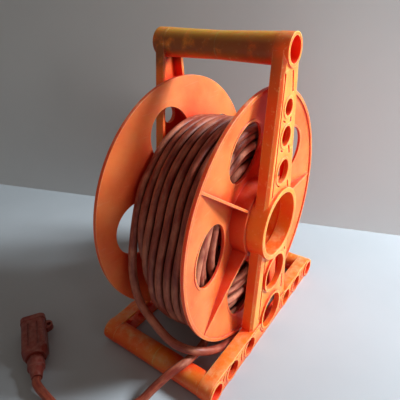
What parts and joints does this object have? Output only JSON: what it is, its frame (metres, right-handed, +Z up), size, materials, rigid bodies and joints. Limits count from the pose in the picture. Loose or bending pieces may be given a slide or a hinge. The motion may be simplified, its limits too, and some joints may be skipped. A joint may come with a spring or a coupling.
{
  "type": "extension cord reel",
  "caption": "Hand-wound extension cord reel: a dished two-flange spool on hollow journals in a plastic stand with a carrying handle, loaded with cord and a connector.",
  "frame": {"origin": "on the floor, under the middle of the axle and of the stand", "axes": "+X along the axle towards the right side frame, +Y along the rails away from the free cord, +Z up"},
  "size_m": [0.2473, 0.366, 0.3386],
  "materials": {
    "frame_plastic": "moulded satin",
    "spool_plastic": "moulded satin",
    "screw_steel": "zinc plated",
    "cord_jacket": "dusty vinyl jacket",
    "connector_vinyl": "moulded vinyl",
    "contact_brass": "stamped brass"
  },
  "bodies": {
    "stand": {"right_side_frame": "frame_plastic", "left_side_frame": "frame_plastic", "frame_screws": "screw_steel", "cord_lead": "cord_jacket", "cord_strain_relief": "connector_vinyl", "connector_body": "connector_vinyl", "connector_face": "connector_vinyl", "line_contact": "contact_brass", "neutral_contact": "contact_brass", "ground_contact": "contact_brass"},
    "spool": {"right_flange": "spool_plastic", "left_flange": "spool_plastic", "drum_screws": "screw_steel", "cord_core": "cord_jacket", "cord_winding": "cord_jacket"}
  },
  "joints": [
    {"name": "spool_spin", "type": "hinge", "parent": "stand", "child": "spool", "pos_m": [0, 0, 0.151], "axis": [1, 0, 0], "continuous": true}
  ]
}
